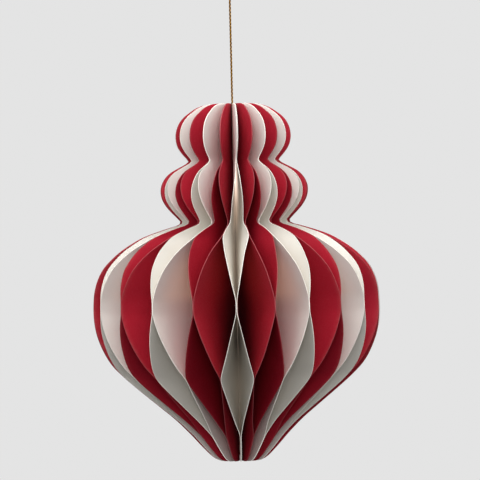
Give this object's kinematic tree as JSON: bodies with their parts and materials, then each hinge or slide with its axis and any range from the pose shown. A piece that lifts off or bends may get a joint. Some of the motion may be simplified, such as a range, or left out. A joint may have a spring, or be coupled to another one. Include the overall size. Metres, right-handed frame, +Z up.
{
  "type": "accordion paper lantern",
  "caption": "Hanging accordion lantern of alternating red and off-white card leaves fanned round a spine tube, with two waists, on a twisted gold cord with a loop.",
  "frame": {"origin": "the point inside the top of the hanging loop where a hook bears", "axes": "+Z up along the hanging cord and the spine; -Y towards the closing seam, the front; +X to the right seen from the front"},
  "size_m": [0.2417, 0.2415, 0.4435],
  "materials": {
    "paper_red": "through-dyed matt red card, fine fibre",
    "paper_white": "matt off-white card, fine fibre",
    "tube_card": "wound card tube, matt",
    "cord_gold": "twisted cord with a dull gold metallic thread",
    "adhesive": "double-sided adhesive dot, satin"
  },
  "bodies": {
    "loop": {"hanging_loop": "cord_gold", "loop_knot": "cord_gold"},
    "cord": {"hanging_cord": "cord_gold"},
    "spine": {"spine_tube": "tube_card", "cord_in_spine": "cord_gold", "stopper_knot": "cord_gold", "leaf_red_22": "paper_red"},
    "fold_00": {"leaf_white_00": "paper_white"},
    "fold_01": {"leaf_red_01": "paper_red"},
    "fold_02": {"leaf_red_02": "paper_red"},
    "fold_03": {"leaf_white_03": "paper_white"},
    "fold_04": {"leaf_white_04": "paper_white"},
    "fold_05": {"leaf_red_05": "paper_red"},
    "fold_06": {"leaf_red_06": "paper_red"},
    "fold_07": {"leaf_white_07": "paper_white"},
    "fold_08": {"leaf_white_08": "paper_white"},
    "fold_09": {"leaf_red_09": "paper_red"},
    "fold_10": {"leaf_red_10": "paper_red"},
    "fold_11": {"leaf_white_11": "paper_white"},
    "fold_12": {"leaf_white_12": "paper_white"},
    "fold_13": {"leaf_red_13": "paper_red"},
    "fold_14": {"leaf_red_14": "paper_red"},
    "fold_15": {"leaf_white_15": "paper_white"},
    "fold_16": {"leaf_white_16": "paper_white"},
    "fold_17": {"leaf_red_17": "paper_red"},
    "fold_18": {"leaf_red_18": "paper_red"},
    "fold_19": {"leaf_white_19": "paper_white"},
    "fold_20": {"leaf_white_20": "paper_white"},
    "fold_21": {"leaf_red_21": "paper_red"},
    "fold_23": {"leaf_white_23": "paper_white"},
    "fold_24": {"leaf_white_24": "paper_white"},
    "fold_25": {"leaf_red_25": "paper_red"},
    "fold_26": {"leaf_red_26": "paper_red"},
    "fold_27": {"leaf_white_27": "paper_white"},
    "fold_28": {"leaf_white_28": "paper_white"},
    "fold_29": {"leaf_red_29": "paper_red"},
    "fold_30": {"leaf_red_30": "paper_red"},
    "fold_31": {"leaf_white_31": "paper_white"},
    "fold_32": {"leaf_white_32": "paper_white"},
    "fold_33": {"leaf_red_33": "paper_red"},
    "fold_34": {"leaf_red_34": "paper_red"},
    "fold_35": {"leaf_white_35": "paper_white"},
    "fold_36": {"leaf_white_36": "paper_white"},
    "fold_37": {"leaf_red_37": "paper_red"},
    "fold_38": {"leaf_red_38": "paper_red"},
    "fold_39": {"leaf_white_39": "paper_white"},
    "fold_40": {"leaf_white_40": "paper_white"},
    "fold_41": {"leaf_red_41": "paper_red"},
    "fold_42": {"leaf_red_42": "paper_red"},
    "fold_43": {"leaf_white_43": "paper_white"},
    "fold_44": {"closure_dot_top": "adhesive", "closure_dot_middle": "adhesive", "closure_dot_bottom": "adhesive"}
  },
  "joints": [
    {"name": "swing", "type": "hinge", "parent": "loop", "child": "cord", "pos_m": [0, 0, -0.042], "axis": [0, 1, 0], "range_deg": [-30, 30]},
    {"name": "swivel", "type": "hinge", "parent": "cord", "child": "spine", "pos_m": [0, 0, -0.142], "axis": [0, 0, 1], "continuous": true},
    {"name": "fan", "type": "hinge", "parent": "spine", "child": "fold_23", "pos_m": [-0.00007, 0.0036, -0.292], "axis": [0, 0, -1], "range_deg": [0, 8.28]},
    {"name": "fan_24", "type": "hinge", "parent": "fold_23", "child": "fold_24", "pos_m": [-0.00058, 0.00355, -0.292], "axis": [0, 0, -1], "range_deg": [0, 8.58]},
    {"name": "fan_25", "type": "hinge", "parent": "fold_24", "child": "fold_25", "pos_m": [-0.00109, 0.00343, -0.292], "axis": [0, 0, -1], "range_deg": [0, 8.58]},
    {"name": "fan_26", "type": "hinge", "parent": "fold_25", "child": "fold_26", "pos_m": [-0.00157, 0.00324, -0.292], "axis": [0, 0, -1], "range_deg": [0, 8.58]},
    {"name": "fan_27", "type": "hinge", "parent": "fold_26", "child": "fold_27", "pos_m": [-0.00202, 0.00298, -0.292], "axis": [0, 0, -1], "range_deg": [0, 8.58]},
    {"name": "fan_28", "type": "hinge", "parent": "fold_27", "child": "fold_28", "pos_m": [-0.00243, 0.00266, -0.292], "axis": [0, 0, -1], "range_deg": [0, 8.58]},
    {"name": "fan_29", "type": "hinge", "parent": "fold_28", "child": "fold_29", "pos_m": [-0.00279, 0.00228, -0.292], "axis": [0, 0, -1], "range_deg": [0, 8.58]},
    {"name": "fan_30", "type": "hinge", "parent": "fold_29", "child": "fold_30", "pos_m": [-0.00309, 0.00185, -0.292], "axis": [0, 0, -1], "range_deg": [0, 8.58]},
    {"name": "fan_31", "type": "hinge", "parent": "fold_30", "child": "fold_31", "pos_m": [-0.00332, 0.00139, -0.292], "axis": [0, 0, -1], "range_deg": [0, 8.58]},
    {"name": "fan_32", "type": "hinge", "parent": "fold_31", "child": "fold_32", "pos_m": [-0.00349, 0.0009, -0.292], "axis": [0, 0, -1], "range_deg": [0, 8.58]},
    {"name": "fan_33", "type": "hinge", "parent": "fold_32", "child": "fold_33", "pos_m": [-0.00358, 0.00038, -0.292], "axis": [0, 0, -1], "range_deg": [0, 8.58]},
    {"name": "fan_34", "type": "hinge", "parent": "fold_33", "child": "fold_34", "pos_m": [-0.0036, -0.00014, -0.292], "axis": [0, 0, -1], "range_deg": [0, 8.58]},
    {"name": "fan_35", "type": "hinge", "parent": "fold_34", "child": "fold_35", "pos_m": [-0.00354, -0.00063, -0.292], "axis": [0, 0, -1], "range_deg": [0, 7.85]},
    {"name": "fan_36", "type": "hinge", "parent": "fold_35", "child": "fold_36", "pos_m": [-0.00343, -0.00109, -0.292], "axis": [0, 0, -1], "range_deg": [0, 7.85]},
    {"name": "fan_37", "type": "hinge", "parent": "fold_36", "child": "fold_37", "pos_m": [-0.00324, -0.00156, -0.292], "axis": [0, 0, -1], "range_deg": [0, 8.95]},
    {"name": "fan_38", "type": "hinge", "parent": "fold_37", "child": "fold_38", "pos_m": [-0.00297, -0.00203, -0.292], "axis": [0, 0, -1], "range_deg": [0, 8.95]},
    {"name": "fan_39", "type": "hinge", "parent": "fold_38", "child": "fold_39", "pos_m": [-0.00263, -0.00245, -0.292], "axis": [0, 0, -1], "range_deg": [0, 8.85]},
    {"name": "fan_40", "type": "hinge", "parent": "fold_39", "child": "fold_40", "pos_m": [-0.00224, -0.00282, -0.292], "axis": [0, 0, -1], "range_deg": [0, 8.85]},
    {"name": "fan_41", "type": "hinge", "parent": "fold_40", "child": "fold_41", "pos_m": [-0.00179, -0.00312, -0.292], "axis": [0, 0, -1], "range_deg": [0, 9]},
    {"name": "fan_42", "type": "hinge", "parent": "fold_41", "child": "fold_42", "pos_m": [-0.0013, -0.00336, -0.292], "axis": [0, 0, -1], "range_deg": [0, 9]},
    {"name": "fan_43", "type": "hinge", "parent": "fold_42", "child": "fold_43", "pos_m": [-0.00079, -0.00351, -0.292], "axis": [0, 0, -1], "range_deg": [0, 8.65]},
    {"name": "fan_44", "type": "hinge", "parent": "fold_43", "child": "fold_44", "pos_m": [-0.00027, -0.00359, -0.292], "axis": [0, 0, -1], "range_deg": [0, 8.65]},
    {"name": "fan_21", "type": "hinge", "parent": "spine", "child": "fold_21", "pos_m": [0.00045, 0.00357, -0.292], "axis": [0, 0, 1], "range_deg": [0, 8.58]},
    {"name": "fan_20", "type": "hinge", "parent": "fold_21", "child": "fold_20", "pos_m": [0.00096, 0.00347, -0.292], "axis": [0, 0, 1], "range_deg": [0, 8.58]},
    {"name": "fan_19", "type": "hinge", "parent": "fold_20", "child": "fold_19", "pos_m": [0.00145, 0.00329, -0.292], "axis": [0, 0, 1], "range_deg": [0, 8.58]},
    {"name": "fan_18", "type": "hinge", "parent": "fold_19", "child": "fold_18", "pos_m": [0.00191, 0.00305, -0.292], "axis": [0, 0, 1], "range_deg": [0, 8.58]},
    {"name": "fan_17", "type": "hinge", "parent": "fold_18", "child": "fold_17", "pos_m": [0.00233, 0.00274, -0.292], "axis": [0, 0, 1], "range_deg": [0, 8.58]},
    {"name": "fan_16", "type": "hinge", "parent": "fold_17", "child": "fold_16", "pos_m": [0.0027, 0.00238, -0.292], "axis": [0, 0, 1], "range_deg": [0, 8.58]},
    {"name": "fan_15", "type": "hinge", "parent": "fold_16", "child": "fold_15", "pos_m": [0.00302, 0.00196, -0.292], "axis": [0, 0, 1], "range_deg": [0, 8.58]},
    {"name": "fan_14", "type": "hinge", "parent": "fold_15", "child": "fold_14", "pos_m": [0.00327, 0.00151, -0.292], "axis": [0, 0, 1], "range_deg": [0, 8.58]},
    {"name": "fan_13", "type": "hinge", "parent": "fold_14", "child": "fold_13", "pos_m": [0.00345, 0.00102, -0.292], "axis": [0, 0, 1], "range_deg": [0, 8.58]},
    {"name": "fan_12", "type": "hinge", "parent": "fold_13", "child": "fold_12", "pos_m": [0.00356, 0.00051, -0.292], "axis": [0, 0, 1], "range_deg": [0, 8.58]},
    {"name": "fan_11", "type": "hinge", "parent": "fold_12", "child": "fold_11", "pos_m": [0.0036, 0, -0.292], "axis": [0, 0, 1], "range_deg": [0, 8.58]},
    {"name": "fan_10", "type": "hinge", "parent": "fold_11", "child": "fold_10", "pos_m": [0.00356, -0.00052, -0.292], "axis": [0, 0, 1], "range_deg": [0, 8.58]},
    {"name": "fan_09", "type": "hinge", "parent": "fold_10", "child": "fold_09", "pos_m": [0.00344, -0.00105, -0.292], "axis": [0, 0, 1], "range_deg": [0, 9.2]},
    {"name": "fan_08", "type": "hinge", "parent": "fold_09", "child": "fold_08", "pos_m": [0.00324, -0.00157, -0.292], "axis": [0, 0, 1], "range_deg": [0, 9.2]},
    {"name": "fan_07", "type": "hinge", "parent": "fold_08", "child": "fold_07", "pos_m": [0.00298, -0.00202, -0.292], "axis": [0, 0, 1], "range_deg": [0, 8.05]},
    {"name": "fan_06", "type": "hinge", "parent": "fold_07", "child": "fold_06", "pos_m": [0.00268, -0.00241, -0.292], "axis": [0, 0, 1], "range_deg": [0, 8.05]},
    {"name": "fan_05", "type": "hinge", "parent": "fold_06", "child": "fold_05", "pos_m": [0.00233, -0.00274, -0.292], "axis": [0, 0, 1], "range_deg": [0, 8]},
    {"name": "fan_04", "type": "hinge", "parent": "fold_05", "child": "fold_04", "pos_m": [0.00194, -0.00303, -0.292], "axis": [0, 0, 1], "range_deg": [0, 8]},
    {"name": "fan_03", "type": "hinge", "parent": "fold_04", "child": "fold_03", "pos_m": [0.00154, -0.00325, -0.292], "axis": [0, 0, 1], "range_deg": [0, 7.3]},
    {"name": "fan_02", "type": "hinge", "parent": "fold_03", "child": "fold_02", "pos_m": [0.00113, -0.00342, -0.292], "axis": [0, 0, 1], "range_deg": [0, 7.3]},
    {"name": "fan_01", "type": "hinge", "parent": "fold_02", "child": "fold_01", "pos_m": [0.00069, -0.00353, -0.292], "axis": [0, 0, 1], "range_deg": [0, 7.75]},
    {"name": "fan_00", "type": "hinge", "parent": "fold_01", "child": "fold_00", "pos_m": [0.00023, -0.00359, -0.292], "axis": [0, 0, 1], "range_deg": [0, 7.75]}
  ],
  "couplings": [
    {"joint": "fan_24", "follows": "fan", "ratio": 1},
    {"joint": "fan_25", "follows": "fan", "ratio": 1},
    {"joint": "fan_26", "follows": "fan", "ratio": 1},
    {"joint": "fan_27", "follows": "fan", "ratio": 1},
    {"joint": "fan_28", "follows": "fan", "ratio": 1},
    {"joint": "fan_29", "follows": "fan", "ratio": 1},
    {"joint": "fan_30", "follows": "fan", "ratio": 1},
    {"joint": "fan_31", "follows": "fan", "ratio": 1},
    {"joint": "fan_32", "follows": "fan", "ratio": 1},
    {"joint": "fan_33", "follows": "fan", "ratio": 1},
    {"joint": "fan_34", "follows": "fan", "ratio": 1},
    {"joint": "fan_35", "follows": "fan", "ratio": 0.91147},
    {"joint": "fan_36", "follows": "fan", "ratio": 0.91147},
    {"joint": "fan_37", "follows": "fan", "ratio": 1.0443},
    {"joint": "fan_38", "follows": "fan", "ratio": 1.0443},
    {"joint": "fan_39", "follows": "fan", "ratio": 1.0322},
    {"joint": "fan_40", "follows": "fan", "ratio": 1.0322},
    {"joint": "fan_41", "follows": "fan", "ratio": 1.0503},
    {"joint": "fan_42", "follows": "fan", "ratio": 1.0503},
    {"joint": "fan_43", "follows": "fan", "ratio": 1.008},
    {"joint": "fan_44", "follows": "fan", "ratio": 1.008},
    {"joint": "fan_21", "follows": "fan", "ratio": 1},
    {"joint": "fan_20", "follows": "fan", "ratio": 1},
    {"joint": "fan_19", "follows": "fan", "ratio": 1},
    {"joint": "fan_18", "follows": "fan", "ratio": 1},
    {"joint": "fan_17", "follows": "fan", "ratio": 1},
    {"joint": "fan_16", "follows": "fan", "ratio": 1},
    {"joint": "fan_15", "follows": "fan", "ratio": 1},
    {"joint": "fan_14", "follows": "fan", "ratio": 1},
    {"joint": "fan_13", "follows": "fan", "ratio": 1},
    {"joint": "fan_12", "follows": "fan", "ratio": 1},
    {"joint": "fan_11", "follows": "fan", "ratio": 1},
    {"joint": "fan_10", "follows": "fan", "ratio": 1},
    {"joint": "fan_09", "follows": "fan", "ratio": 1.0744},
    {"joint": "fan_08", "follows": "fan", "ratio": 1.0744},
    {"joint": "fan_07", "follows": "fan", "ratio": 0.93561},
    {"joint": "fan_06", "follows": "fan", "ratio": 0.93561},
    {"joint": "fan_05", "follows": "fan", "ratio": 0.92958},
    {"joint": "fan_04", "follows": "fan", "ratio": 0.92958},
    {"joint": "fan_03", "follows": "fan", "ratio": 0.84507},
    {"joint": "fan_02", "follows": "fan", "ratio": 0.84507},
    {"joint": "fan_01", "follows": "fan", "ratio": 0.8994},
    {"joint": "fan_00", "follows": "fan", "ratio": 0.8994}
  ]
}
